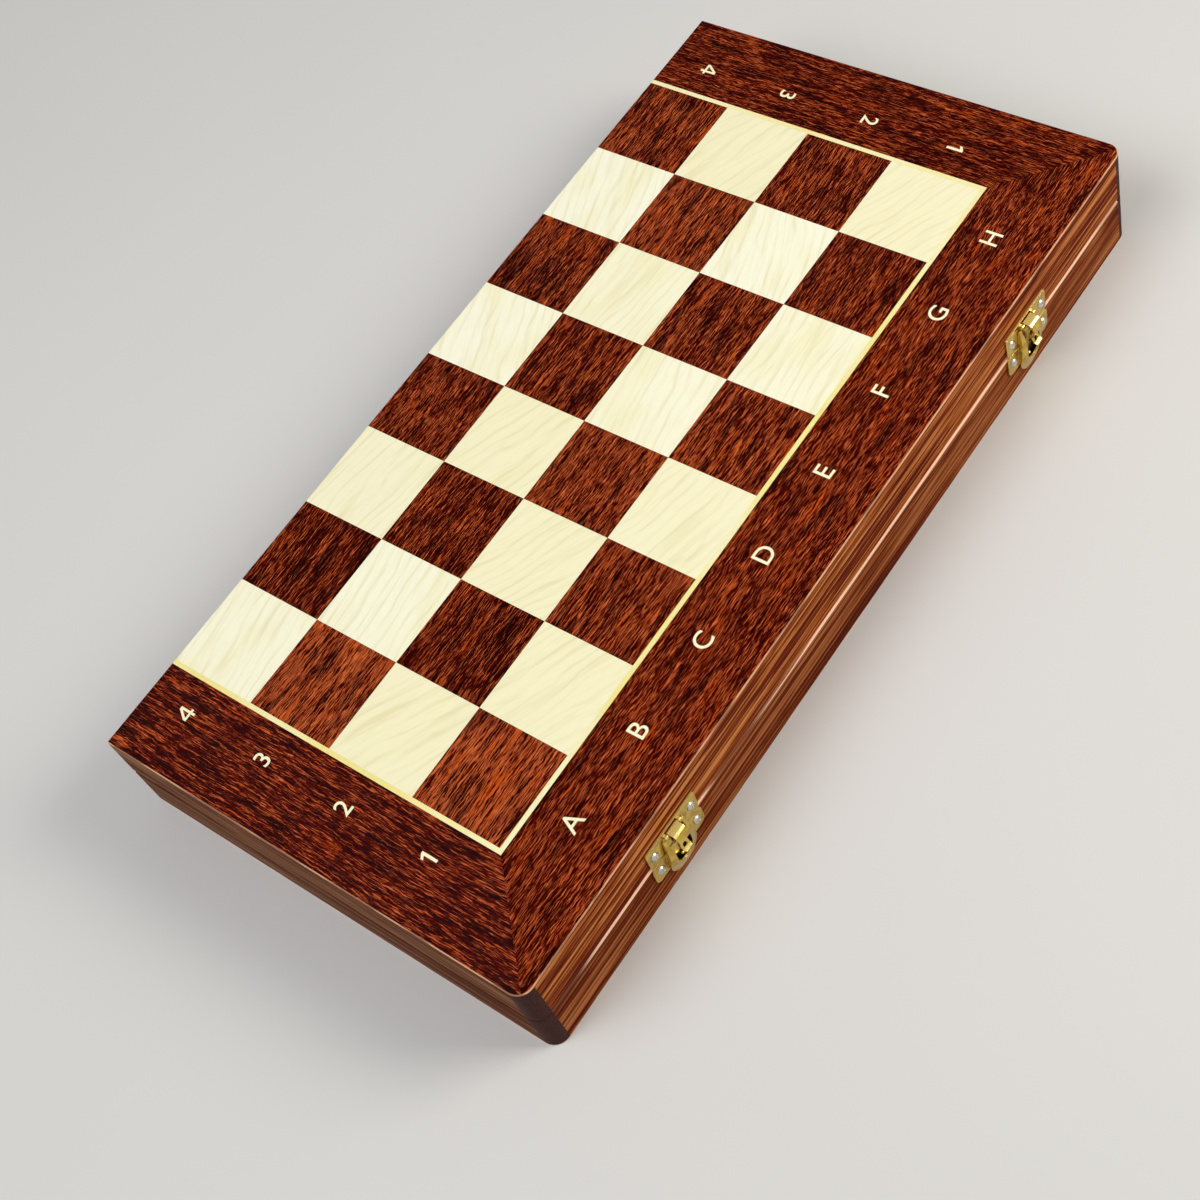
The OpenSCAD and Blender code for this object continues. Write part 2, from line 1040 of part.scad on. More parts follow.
lower_front_rail();
lower_back_rail();
lower_left_rail();
lower_right_rail();
lower_panel();
lower_border_front();
lower_border_left();
lower_border_right();
lower_line();
lower_dark_squares();
lower_light_squares();
lower_insert();
upper_front_rail();
upper_back_rail();
upper_left_rail();
upper_right_rail();
upper_panel();
upper_border_front();
upper_border_left();
upper_border_right();
upper_line();
upper_dark_squares();
upper_light_squares();
upper_insert();
left_hinge_lower_leaf();
left_hinge_upper_leaf();
left_hinge_pin();
right_hinge_lower_leaf();
right_hinge_upper_leaf();
right_hinge_pin();
lower_hinge_screws();
upper_hinge_screws();
left_catch_shield();
left_catch_top_plate();
left_catch_pin();
left_catch_strap();
right_catch_shield();
right_catch_top_plate();
right_catch_pin();
right_catch_strap();
lower_catch_screws();
upper_catch_screws();
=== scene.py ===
"""Finishes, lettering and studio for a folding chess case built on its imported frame.

The frame gives every solid piece. This file adds the lettering of the board, the soft
lips of the two inserts, a procedural finish for every piece, a floor, lamps and a camera.
Sizes are in metres unless a name says otherwise.
"""

from __future__ import annotations

import logging
import math
from dataclasses import dataclass, field
from enum import Enum
from functools import cache

import bpy
from mathutils import Matrix, Quaternion, Vector


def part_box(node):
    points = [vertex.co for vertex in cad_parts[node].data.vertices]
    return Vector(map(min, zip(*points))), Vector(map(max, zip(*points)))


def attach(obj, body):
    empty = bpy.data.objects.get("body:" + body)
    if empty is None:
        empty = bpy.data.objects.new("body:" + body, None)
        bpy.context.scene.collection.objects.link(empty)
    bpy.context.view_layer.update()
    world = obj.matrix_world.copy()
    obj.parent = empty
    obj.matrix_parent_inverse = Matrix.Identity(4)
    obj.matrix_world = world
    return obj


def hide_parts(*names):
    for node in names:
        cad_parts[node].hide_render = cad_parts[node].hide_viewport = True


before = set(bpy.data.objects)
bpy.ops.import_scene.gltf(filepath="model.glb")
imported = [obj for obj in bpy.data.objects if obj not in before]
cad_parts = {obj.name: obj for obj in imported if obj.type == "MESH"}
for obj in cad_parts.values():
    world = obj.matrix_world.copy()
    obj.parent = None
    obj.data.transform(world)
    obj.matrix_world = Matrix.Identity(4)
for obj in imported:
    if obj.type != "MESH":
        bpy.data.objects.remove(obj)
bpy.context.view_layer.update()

LOG = logging.getLogger("chess_case")
MM = 0.001
# A height far under the case, so that no leaf of veneer ends between two heights of it.
LEAF_FLOOR = -0.5

Node = bpy.types.Node
Socket = bpy.types.NodeSocket
Tree = bpy.types.NodeTree
Material = bpy.types.Material
Piece = bpy.types.Object
Value = "Socket | float | str"
Stops = "tuple[tuple[float, str], ...]"
Pair = "tuple[float, float]"
Range = "tuple[float, ...]"
Loop = "list[tuple[float, float]]"
Triple = "tuple[float, float, float]"
Place = Triple


# ---- small tools ----


def tone(code: str) -> tuple[float, float, float, float]:
    """Turns a colour written as six hex digits into linear light.

    Args:
        code: Red, green and blue as seen on a screen, such as "7a2c14".

    Returns:
        The linear red, green, blue and a full alpha.
    """
    parts = [int(code[i : i + 2], 16) / 255 for i in (0, 2, 4)]
    linear = [c / 12.92 if c <= 0.04045 else ((c + 0.055) / 1.055) ** 2.4 for c in parts]
    return (linear[0], linear[1], linear[2], 1.0)


def only_select(piece: Piece) -> None:
    """Selects one piece and nothing else, and makes it active.

    Args:
        piece: The piece.
    """
    bpy.ops.object.select_all(action="DESELECT")
    piece.select_set(True)
    bpy.context.view_layer.objects.active = piece


def paint(piece: Piece, finish: Material) -> None:
    """Gives a piece one finish all over."""
    piece.data.materials.clear()
    piece.data.materials.append(finish)


class NodeBoard:
    """Places nodes in one tree and joins them."""

    def __init__(self, tree: Tree) -> None:
        """Keeps the tree that the nodes go in."""
        self.tree = tree

    def add(self, kind: str, **settings: object) -> Node:
        """Adds a node and sets its properties.

        Args:
            kind: The node's type without its Shader prefix.
            **settings: Properties of the node itself, such as operation.

        Returns:
            The new node.
        """
        node = self.tree.nodes.new("ShaderNode" + kind)
        for name, value in settings.items():
            setattr(node, name, value)
        return node

    def feed(self, target: Socket, source: Value) -> None:
        """Joins a socket to another socket, or sets its number or colour.

        Args:
            target: The socket that is fed.
            source: Another socket, a number, a vector or a colour in hex digits.
        """
        if isinstance(source, bpy.types.NodeSocket):
            self.tree.links.new(source, target)
        else:
            target.default_value = tone(source) if isinstance(source, str) else source

    def fill(self, node: Node, **values: Value) -> None:
        """Feeds each named input of a node, with _ for a space in its name."""
        for name, value in values.items():
            self.feed(node.inputs[name.replace("_", " ")], value)

    def math(self, operation: str, *terms: Value, clamp: bool = False) -> Socket:
        """Adds a Math node.

        Args:
            operation: The name of the sum, such as "MULTIPLY".
            *terms: The numbers or sockets that go in.
            clamp: Whether the result is kept between 0 and 1.

        Returns:
            The result's socket.
        """
        node = self.add("Math", operation=operation, use_clamp=clamp)
        for target, term in zip(node.inputs, terms):
            self.feed(target, term)
        return node.outputs[0]

    def vector(self, operation: str, first: Value, second: Value = (0.0, 0.0, 0.0)) -> Socket:
        """Adds a Vector Math node and returns its vector.

        Args:
            operation: The name of the sum, such as "MULTIPLY".
            first: The first vector or socket.
            second: The second vector or socket.

        Returns:
            The result's socket.
        """
        node = self.add("VectorMath", operation=operation)
        self.feed(node.inputs[0], first)
        self.feed(node.inputs[1], second)
        return node.outputs[0]

    def swing(self, value: Socket, reach: Value) -> Socket:
        """Turns a noise, which lies about one half, into a swing about zero.

        Args:
            value: The noise.
            reach: What the swing is multiplied by.

        Returns:
            The swing.
        """
        return self.math("MULTIPLY", self.math("SUBTRACT", value, 0.5), reach)

    def axis(self, vector: Socket, index: int) -> Socket:
        """Takes one coordinate out of a vector.

        Args:
            vector: The vector.
            index: Which coordinate, counted from 0.

        Returns:
            The coordinate.
        """
        node = self.add("SeparateXYZ")
        self.feed(node.inputs[0], vector)
        return node.outputs[index]

    def joined(self, *parts: Value) -> Socket:
        """Makes a vector of three coordinates.

        Args:
            *parts: The numbers or sockets that go in.

        Returns:
            The vector.
        """
        node = self.add("CombineXYZ")
        for target, part in zip(node.inputs, parts):
            self.feed(target, part)
        return node.outputs[0]

    def noise(
        self, vector: Socket, scale: Value, detail: float, rough: float, bend: float = 0.0
    ) -> Socket:
        """Adds a noise texture and returns its value.

        Args:
            vector: Where the noise is read.
            scale: How fine it is.
            detail: How many finer layers it has.
            rough: How strong the finer layers are.
            bend: How much it is bent by itself.

        Returns:
            The noise's value socket.
        """
        node = self.add("TexNoise", noise_dimensions="3D")
        self.fill(node, Vector=vector, Scale=scale, Detail=detail, Roughness=rough, Distortion=bend)
        return node.outputs[0]

    def span(
        self, value: Socket, low: float, high: float, start: float = 0.0, end: float = 1.0
    ) -> Socket:
        """Maps a range of a value smoothly onto another range.

        Args:
            value: The value that is mapped.
            low: Where the range starts.
            high: Where the range ends.
            start: What low becomes.
            end: What high becomes.

        Returns:
            The mapped value.
        """
        node = self.add("MapRange", interpolation_type="SMOOTHSTEP")
        self.fill(node, Value=value, From_Min=low, From_Max=high, To_Min=start, To_Max=end)
        return node.outputs["Result"]

    def ramp(self, value: Socket, stops: Stops) -> Socket:
        """Adds a colour ramp.

        Args:
            value: The value that picks the colour.
            stops: Each stop's place from 0 to 1 and its hex colour.

        Returns:
            The ramp's colour socket.
        """
        node = self.add("ValToRGB")
        band = node.color_ramp.elements
        while len(band) < len(stops):
            band.new(0.5)
        for element, (place, code) in zip(band, stops):
            element.position = place
            element.color = tone(code)
        self.feed(node.inputs[0], value)
        return node.outputs[0]

    def mix(self, factor: Value, first: Value, second: Value, blend: str = "MIX") -> Socket:
        """Mixes two colours.

        Args:
            factor: How much of the second colour.
            first: The first hex colour or socket.
            second: The second hex colour or socket.
            blend: The way they mix.

        Returns:
            The mixed colour.
        """
        node = self.add("Mix", data_type="RGBA", blend_type=blend, clamp_factor=True)
        self.feed(node.inputs[0], factor)
        self.feed(node.inputs[6], first)
        self.feed(node.inputs[7], second)
        return node.outputs[2]

    def group(self, tree: Tree, **inputs: Value) -> Node:
        """Places a shared group.

        Args:
            tree: The group's own tree.
            **inputs: A value or socket for each named input, with _ for a space.

        Returns:
            The group's node.
        """
        node = self.tree.nodes.new("ShaderNodeGroup")
        node.node_tree = tree
        self.fill(node, **inputs)
        return node


class MaterialBoard(NodeBoard):
    """The nodes of one new material, with its shader and each point's place and normal."""

    def __init__(self, name: str) -> None:
        """Makes the empty material.

        Args:
            name: The material's name.
        """
        self.material = bpy.data.materials.new(name)
        self.material.use_nodes = True
        super().__init__(self.material.node_tree)
        self.shader = self.tree.nodes["Principled BSDF"]
        where = self.add("TexCoord").outputs
        self.place, self.normal = where["Object"], where["Normal"]

    def finished(self, **values: Value) -> Material:
        """Feeds the shader's named inputs and hands over the material."""
        self.fill(self.shader, **values)
        return self.material


# ---- shared effects ----


class Effects:
    """The shader groups that more than one finish uses, each built once."""

    # How far the grain may jump from leaf to leaf, in millimetres.
    LEAF_SHIFT = (400.0, 400.0, 400.0)
    # How often the fibres sway and ripple per millimetre, and the reach of a full sway.
    SWAY_PITCH = (0.02, 0.05, 0.05)
    RIPPLE_PITCH = (0.22, 0.45, 0.45)
    SWAY_REACH = 6.0
    # How often the growth rings of pale veneer bend per millimetre.
    RING_WARP_PITCH = (0.014, 0.03, 0.03)
    # How high on its wave a growth ring starts to show.
    RING_AT = (0.35, 1.0)
    LEAF_INPUTS = [
        *((label, "Vector", None) for label in ("Vector", "Corner")),
        *((label, "Float", 0.0) for label in ("Leaf", "Seed", "Turn")),
    ]

    @staticmethod
    def start(
        name: str, inputs: list[tuple[str, str, object]], outputs: dict[str, str]
    ) -> tuple[NodeBoard, Node, Node]:
        """Opens a new group.

        Args:
            name: The group's name.
            inputs: Each input's name, kind and default.
            outputs: Each output's kind by its name.

        Returns:
            The board, the group's input node and its output node.
        """
        tree = bpy.data.node_groups.new(name, "ShaderNodeTree")
        face = tree.interface
        for label, kind, default in inputs:
            socket = face.new_socket(label, in_out="INPUT", socket_type="NodeSocket" + kind)
            if default is not None:
                socket.default_value = default
        for label, kind in outputs.items():
            face.new_socket(label, in_out="OUTPUT", socket_type="NodeSocket" + kind)
        return NodeBoard(tree), tree.nodes.new("NodeGroupInput"), tree.nodes.new("NodeGroupOutput")

    @classmethod
    def leaf_place(cls, board: NodeBoard, given: Node) -> tuple[Socket, Socket]:
        """Shifts the grain for each leaf of veneer, so that no two neighbours match.

        Args:
            board: The tree that the nodes go in.
            given: An input node with Vector, Leaf, Corner and Seed.

        Returns:
            The shifted place in millimetres and one random tone per leaf.
        """
        from_corner = board.vector("SUBTRACT", given.outputs["Vector"], given.outputs["Corner"])
        size = board.joined(given.outputs["Leaf"], given.outputs["Leaf"], 1.0)
        cell = board.vector("FLOOR", board.vector("DIVIDE", from_corner, size))
        chance = board.add("TexWhiteNoise", noise_dimensions="4D")
        board.fill(chance, Vector=cell, W=given.outputs["Seed"])
        shift = board.vector("MULTIPLY", chance.outputs["Color"], cls.LEAF_SHIFT)
        in_mm = board.vector("MULTIPLY", given.outputs["Vector"], (1 / MM, 1 / MM, 1 / MM))
        return board.vector("ADD", in_mm, shift), chance.outputs["Value"]

    @staticmethod
    def turned(board: NodeBoard, place: Socket, angle: Value) -> Socket:
        """Turns a place about the upright axis.

        Args:
            board: Where the node goes.
            place: The place of each point.
            angle: How far it turns, in radians.

        Returns:
            The turned place.
        """
        turn = board.add("VectorRotate", rotation_type="Z_AXIS")
        board.fill(turn, Vector=place, Angle=angle)
        return turn.outputs[0]

    @classmethod
    @cache
    def fibres(cls) -> Tree:
        """Draws wood fibres, shifted for each leaf and turned to the grain.

        Returns:
            A group that puts out streaks, pores, broad mottling and one tone per leaf.
        """
        parts = (("Streak", 4.0, 0.62), ("Pore", 2.5, 0.6), ("Mottle", 2.0, 0.5))
        sizes = [f"{part[0]} {side}" for part in parts for side in ("Length", "Width")]
        board, given, out = cls.start(
            "fibres",
            cls.LEAF_INPUTS + [(label, "Float", 1.0) for label in (*sizes, "Wander", "Ripple")],
            dict.fromkeys(("Streak", "Pore", "Mottle", "Tone"), "Float"),
        )
        leaf, chance = cls.leaf_place(board, given)
        board.feed(out.inputs["Tone"], chance)
        leaf = cls.turned(board, leaf, given.outputs["Turn"])
        slow = board.vector("MULTIPLY", leaf, cls.SWAY_PITCH)
        slow = board.noise(slow, 1.0, detail=2.0, rough=0.5)
        quick = board.vector("MULTIPLY", leaf, cls.RIPPLE_PITCH)
        quick = board.noise(quick, 1.0, detail=1.0, rough=0.5)
        sway = board.math("MULTIPLY", board.swing(slow, given.outputs["Wander"]), cls.SWAY_REACH)
        push = board.math("ADD", sway, board.swing(quick, given.outputs["Ripple"]))
        place = board.vector("ADD", leaf, board.joined(0.0, push, 0.0))
        for part, detail, rough in parts:
            long, wide = given.outputs[part + " Length"], given.outputs[part + " Width"]
            read = board.vector("DIVIDE", place, board.joined(long, wide, wide))
            board.feed(out.inputs[part], board.noise(read, 1.0, detail, rough))
        return board.tree

    @classmethod
    @cache
    def pale_figure(cls) -> Tree:
        """Draws the faint growth lines of pale veneer, turned a little on each leaf.

        Returns:
            A group that puts out broad bands, clouds, thin rings, fine fibres and a leaf's tone.
        """
        board, given, out = cls.start(
            "pale_figure",
            cls.LEAF_INPUTS + [("Ring Pitch", "Float", 5.5), ("Ring Bend", "Float", 5.0)],
            dict.fromkeys(("Bands", "Cloud", "Rings", "Fine", "Tone"), "Float"),
        )
        leaf, chance = cls.leaf_place(board, given)
        board.feed(out.inputs["Tone"], chance)
        figure = cls.turned(board, leaf, board.swing(chance, given.outputs["Turn"]))
        for label, pitch, detail, rough, bend in (
            ("Bands", (0.02, 0.27, 0.27), 2.5, 0.55, 0.3),
            ("Cloud", (0.025, 0.05, 0.05), 1.5, 0.5, 0.0),
            ("Fine", (0.14, 1.3, 1.3), 2.0, 0.55, 0.0),
        ):
            read = board.vector("MULTIPLY", figure, pitch)
            board.feed(out.inputs[label], board.noise(read, 1.0, detail, rough, bend))
        warp = board.vector("MULTIPLY", figure, cls.RING_WARP_PITCH)
        warp = board.noise(warp, 1.0, detail=2.5, rough=0.5)
        warp = board.swing(warp, given.outputs["Ring Bend"])
        count = board.math("DIVIDE", board.axis(figure, 1), given.outputs["Ring Pitch"])
        turns = board.math("MULTIPLY", board.math("ADD", count, warp), 2 * math.pi)
        board.feed(out.inputs["Rings"], board.span(board.math("SINE", turns), *cls.RING_AT))
        return board.tree

    @classmethod
    @cache
    def rubbed_edge(cls) -> Tree:
        """Finds the edges of a piece from how fast its surface turns.

        Returns:
            A group that puts out a mask of the edges and a softened normal.
        """
        board, given, out = cls.start(
            "rubbed_edge",
            [("Radius", "Float", 0.3 * MM), ("Gain", "Float", 5.0)],
            {"Mask": "Float", "Normal": "Vector"},
        )
        soft = board.add("Bevel", samples=4)
        board.feed(soft.inputs["Radius"], given.outputs["Radius"])
        turn = board.add("VectorMath", operation="DOT_PRODUCT")
        board.feed(turn.inputs[0], soft.outputs[0])
        board.feed(turn.inputs[1], board.add("NewGeometry").outputs["Normal"])
        rate = board.math("SUBTRACT", 1.0, turn.outputs["Value"])
        mask = board.math("MULTIPLY", rate, given.outputs["Gain"], clamp=True)
        board.fill(out, Mask=mask, Normal=soft.outputs[0])
        return board.tree

    @classmethod
    @cache
    def handled(cls) -> Tree:
        """Spreads faint smears and dust over a surface.

        Returns:
            A group that puts out a slow smear and a fine speck pattern.
        """
        board, given, out = cls.start(
            "handled",
            [
                ("Vector", "Vector", None),
                ("Smear Size", "Float", 6.0 * MM),
                ("Speck Size", "Float", 0.6 * MM),
            ],
            {"Smear": "Float", "Speck": "Float"},
        )
        for label, detail, rough in (("Smear", 3.0, 0.6), ("Speck", 1.0, 0.5)):
            scale = board.math("DIVIDE", 1.0, given.outputs[label + " Size"])
            pattern = board.noise(given.outputs["Vector"], scale, detail, rough)
            board.feed(out.inputs[label], pattern)
        return board.tree


# ---- finishes ----


class Grain(Enum):
    """The way the wood fibres of a piece run."""

    ALONG_CASE = 0.0
    ACROSS_CASE = math.pi / 2


@dataclass(frozen=True)
class Finish:
    """What every finish shares: its name, its relief and its softened edges.

    A field that ends in _at says between which two values of its pattern a change sets in.
    Where it holds four numbers, the last two say how strong the change is at each end.
    """

    name: str
    relief: float = 0.03 * MM
    edge_radius: float = 0.25 * MM

    def edge(self, board: NodeBoard) -> Node:
        """Places the group that softens and masks the edges."""
        return board.group(Effects.rubbed_edge(), Radius=self.edge_radius)

    def bump(self, board: NodeBoard, height: Socket, edge: Node | None = None) -> Socket:
        """Turns a height into a normal, as deep as the relief.

        Args:
            board: Where the node goes.
            height: The height between 0 and 1.
            edge: The group with the softened normal to start from, if there is one.

        Returns:
            The normal's socket.
        """
        node = board.add("Bump")
        board.fill(node, Distance=self.relief, Height=height)
        if edge is not None:
            board.fill(node, Normal=edge.outputs["Normal"])
        return node.outputs[0]


@dataclass(frozen=True)
class Wood(Finish):
    """Wood whose tone follows its fibres, with their lengths and widths in millimetres."""

    grain: Grain = Grain.ALONG_CASE
    leaf: float = 10.0
    corner: Place = (-5.0, -5.0, LEAF_FLOOR)
    seed: float = 0.0
    streak: Pair = (16.0, 0.46)
    pore: Pair = (5.0, 0.26)
    mottle: Pair = (26.0, 4.0)
    wander: float = 0.5
    ripple: float = 0.0
    shares: Triple = (1.0, 1.0, 1.0)
    leaf_swing: float = 0.0
    gain: float = 1.0
    middle: float = 0.5
    roughness: float = 0.38
    sheen_level: float = 0.02

    def fibres(self, board: MaterialBoard) -> Node:
        """Places the fibres of this wood.

        Args:
            board: Where the node goes.

        Returns:
            The fibres' node.
        """
        return board.group(
            Effects.fibres(),
            Vector=board.place,
            Leaf=self.leaf,
            Corner=self.corner,
            Seed=self.seed,
            Turn=self.grain.value,
            Streak_Length=self.streak[0],
            Streak_Width=self.streak[1],
            Pore_Length=self.pore[0],
            Pore_Width=self.pore[1],
            Mottle_Length=self.mottle[0],
            Mottle_Width=self.mottle[1],
            Wander=self.wander,
            Ripple=self.ripple,
        )

    def shade(self, board: NodeBoard, wood: Node) -> Socket:
        """Works out where each point lies between the darkest and the palest colour.

        Args:
            board: Where the nodes go.
            wood: The fibres' node.

        Returns:
            The place on the colour ramp.
        """
        place = board.swing(wood.outputs["Tone"], self.leaf_swing)
        for part, share in zip(("Streak", "Pore", "Mottle"), self.shares):
            place = board.math("ADD", place, board.swing(wood.outputs[part], share))
        return board.math("MULTIPLY_ADD", place, self.gain, self.middle)


@dataclass(frozen=True)
class RedVeneer(Wood):
    """Red-brown veneer with dense dark pores and orange flecks, under satin lacquer, with a painted
    highlight along its bevelled edges.
    """

    relief: float = 0.04 * MM
    ripple: float = 1.2
    shares: Triple = (1.75, 2.2, 0.45)
    leaf_swing: float = 0.2
    gain: float = 2.8
    middle: float = 0.395
    stops: Stops = (
        (0.04, "2a0000"), (0.20, "400200"), (0.36, "4f0b01"), (0.50, "5c1303"),
        (0.64, "73210a"), (0.82, "a03c16"), (1.00, "cc6636"),
    )
    flare: str = "ffdc8c"
    umber: str = "bac6e0"
    # The paler edge colour is a painted highlight on the bevelled edges, in broken stretches.
    edge_colour: str = "e0a880"
    dull: float = 0.14
    flare_at: Range = (0.55, 0.74)
    umber_at: Range = (0.47, 0.30)
    edge_at: Range = (0.97, 0.85)
    worn_at: Range = (0.42, 0.58, 0.45, 1.0)
    dull_at: Range = (0.45, 0.1)

    def build(self) -> Material:
        """Makes the material.

        Returns:
            The material, ready to paint a piece with.
        """
        board = MaterialBoard(self.name)
        wood = self.fibres(board)
        shade = self.shade(board, wood)
        drift = wood.outputs["Mottle"]
        colour = board.ramp(shade, self.stops)
        colour = board.mix(board.span(drift, *self.flare_at), colour, self.flare, "MULTIPLY")
        colour = board.mix(board.span(drift, *self.umber_at), colour, self.umber, "MULTIPLY")
        # Painted highlight: where the normal leaves the upright, the bevelled edges turn paler in
        # broken stretches.
        level = board.math("ABSOLUTE", board.axis(board.normal, 2))
        broken = board.span(drift, *self.worn_at)
        edge_highlight = board.math("MULTIPLY", board.span(level, *self.edge_at), broken)
        colour = board.mix(edge_highlight, colour, self.edge_colour)
        pores = board.span(shade, *self.dull_at)
        rough = board.math("MULTIPLY_ADD", pores, self.dull, self.roughness)
        return board.finished(
            Base_Color=colour,
            Roughness=rough,
            Specular_IOR_Level=self.sheen_level,
            Normal=self.bump(board, shade, self.edge(board)),
        )


@dataclass(frozen=True)
class PaleVeneer(Finish):
    """Cream veneer with a faint figure, under satin lacquer."""

    leaf: float = 0.049
    corner: Place = (0.0, 0.0, LEAF_FLOOR)
    seed: float = 0.0
    base: str = "fbf9df"
    warm: str = "f7f1c9"
    cloudy: str = "f7f1c6"
    vein: str = "e0d6a2"
    warm_at: Range = (0.15, 0.9)
    cloudy_at: Range = (0.42, 0.75, 0.0, 0.8)
    broad_vein_at: Range = (0.48, 0.68)
    broad_cloud_at: Range = (0.3, 0.65, 0.08, 0.3)
    thin_vein_at: Range = (0.35, 0.6, 0.08, 0.34)
    fibre_at: Range = (0.45, 0.75, 0.0, 0.16)
    figure_turn: float = math.radians(60)
    roughness: float = 0.36
    sheen_level: float = 0.25

    def build(self) -> Material:
        """Makes the material.

        Returns:
            The material, ready to paint a piece with.
        """
        board = MaterialBoard(self.name)
        figure = board.group(
            Effects.pale_figure(),
            Vector=board.place,
            Leaf=self.leaf,
            Corner=self.corner,
            Seed=self.seed,
            Turn=self.figure_turn,
        )
        cloud, bands, rings, fine = (
            figure.outputs[label] for label in ("Cloud", "Bands", "Rings", "Fine")
        )
        per_leaf = board.span(figure.outputs["Tone"], *self.warm_at)
        colour = board.mix(per_leaf, self.base, self.warm)
        colour = board.mix(board.span(cloud, *self.cloudy_at), colour, self.cloudy)
        broad = board.span(cloud, *self.broad_cloud_at)
        broad = board.math("MULTIPLY", board.span(bands, *self.broad_vein_at), broad)
        colour = board.mix(broad, colour, self.vein)
        thin = board.math("MULTIPLY", rings, board.span(bands, *self.thin_vein_at))
        colour = board.mix(thin, colour, self.vein)
        colour = board.mix(board.span(fine, *self.fibre_at), colour, self.vein)
        return board.finished(
            Base_Color=colour,
            Roughness=self.roughness,
            Specular_IOR_Level=self.sheen_level,
            Normal=self.bump(board, fine, self.edge(board)),
        )


class WallTone(Enum):
    """The colours of the walls, from dark to light."""

    LONG_UPPER = (
        (0.12, "3c0800"), (0.30, "601000"), (0.42, "732700"), (0.50, "843700"),
        (0.58, "984d16"), (0.70, "b5692f"), (0.90, "cf8a50"),
    )
    LONG_LOWER = (
        (0.12, "441000"), (0.30, "5b1700"), (0.42, "692600"), (0.50, "753202"),
        (0.58, "823f13"), (0.70, "965226"), (0.90, "b06c40"),
    )
    END_UPPER = (
        (0.28, "4e1a00"), (0.42, "602f0a"), (0.50, "6b3a17"), (0.60, "784827"),
        (0.74, "8a5d3c"),
    )
    END_LOWER = (
        (0.28, "501c00"), (0.42, "5c2c06"), (0.50, "643512"), (0.60, "6e421f"),
        (0.74, "7f5436"),
    )


@dataclass(frozen=True)
class RailWood(Wood):
    """Solid wall wood with long straight grain, dark end grain where it is cut across, and, where a
    rim is given, a painted highlight along that rounded rim.
    """

    relief: float = 0.05 * MM
    edge_radius: float = 0.4 * MM
    streak: Pair = (210.0, 1.6)
    pore: Pair = (34.0, 0.5)
    mottle: Pair = (120.0, 6.0)
    wander: float = 0.35
    shares: Triple = (2.6, 1.1, 1.2)
    tones: WallTone = WallTone.LONG_UPPER
    end_colour: str = "3a2320"
    end_shade: str = "523630"
    end_speck: float = 1800.0
    # The pale rim colour is a painted highlight on the rounded rim where the halves meet.
    rim_colour: str = "ffd2b4"
    rim: float | None = None
    rim_reach: float = 1.5 * MM
    rim_core: float = 0.8 * MM
    worn_at: Range = (0.44, 0.52, 0.08, 1.0)
    round_at: Range = (0.985, 0.9)
    speck_at: Range = (0.35, 0.7)
    dull_at: Range = (0.2, 0.8)
    end_front: float | None = None
    end_back: float | None = None
    end_lap: float = 1.0 * MM
    end_fade: float = 1.5 * MM
    end_skin: float = 0.1 * MM
    dull: float = 0.1

    def rubbed_rim(self, board: MaterialBoard, mottle: Socket) -> Socket:
        """Marks a painted highlight on the rounded rim, broken where the mottling is low and off
        its flat top.

        Args:
            board: Where the nodes go.
            mottle: The broad mottling of the wood.

        Returns:
            The mask of the painted highlight, in broken stretches.
        """
        height = board.axis(board.place, 2)
        near = board.math("ABSOLUTE", board.math("SUBTRACT", height, self.rim))
        broken = board.span(mottle, *self.worn_at)
        brightened = board.math("MULTIPLY", board.span(near, self.rim_reach, self.rim_core), broken)
        level = board.math("ABSOLUTE", board.axis(board.normal, 2))
        return board.math("MULTIPLY", brightened, board.span(level, *self.round_at))

    def build(self) -> Material:
        """Makes the material.

        Returns:
            The material, ready to paint a piece with.
        """
        board = MaterialBoard(self.name)
        wood = self.fibres(board)
        shade = self.shade(board, wood)
        colour = board.ramp(shade, self.tones.value)
        # A painted highlight along the rounded rim.
        if self.rim is not None:
            brightened = self.rubbed_rim(board, wood.outputs["Mottle"])
            colour = board.mix(brightened, colour, self.rim_colour)
        speck = board.noise(board.place, self.end_speck, detail=2.0, rough=0.6)
        speck = board.span(speck, *self.speck_at)
        end = board.mix(speck, self.end_colour, self.end_shade)
        across = board.axis(board.place, 1)
        if self.end_front is not None:
            mask = board.span(across, self.end_front + self.end_lap, self.end_front - self.end_fade)
            colour = board.mix(mask, colour, end)
        if self.end_back is not None:
            mask = board.span(across, self.end_back - self.end_skin, self.end_back)
            colour = board.mix(mask, colour, end)
        rough = board.span(shade, *self.dull_at, self.roughness + self.dull, self.roughness)
        return board.finished(
            Base_Color=colour,
            Roughness=rough,
            Specular_IOR_Level=self.sheen_level,
            Normal=self.bump(board, wood.outputs["Streak"], self.edge(board)),
        )


@dataclass(frozen=True)
class PlyWood(Finish):
    """Pale cross-laid sheet under the veneers."""

    relief: float = 0.08 * MM
    ply: float = 2.6 * MM
    fibre_scale: Triple = (40.0, 600.0, 600.0)
    along: str = "c9a777"
    across: str = "a9814f"
    fibre: str = "86603a"
    across_at: Range = (-0.3, 0.3)
    fibre_at: Range = (0.4, 0.8, 0.0, 0.4)
    roughness: float = 0.7

    def build(self) -> Material:
        """Makes the material.

        Returns:
            The material, ready to paint a piece with.
        """
        board = MaterialBoard(self.name)
        turns = board.math("MULTIPLY", board.axis(board.place, 2), 2 * math.pi / self.ply)
        plies = board.span(board.math("SINE", turns), *self.across_at)
        along = board.vector("MULTIPLY", board.place, self.fibre_scale)
        fine = board.noise(along, 1.0, detail=3.0, rough=0.6)
        colour = board.mix(plies, self.along, self.across)
        colour = board.mix(board.span(fine, *self.fibre_at), colour, self.fibre)
        relief = self.bump(board, fine)
        return board.finished(Base_Color=colour, Roughness=self.roughness, Normal=relief)


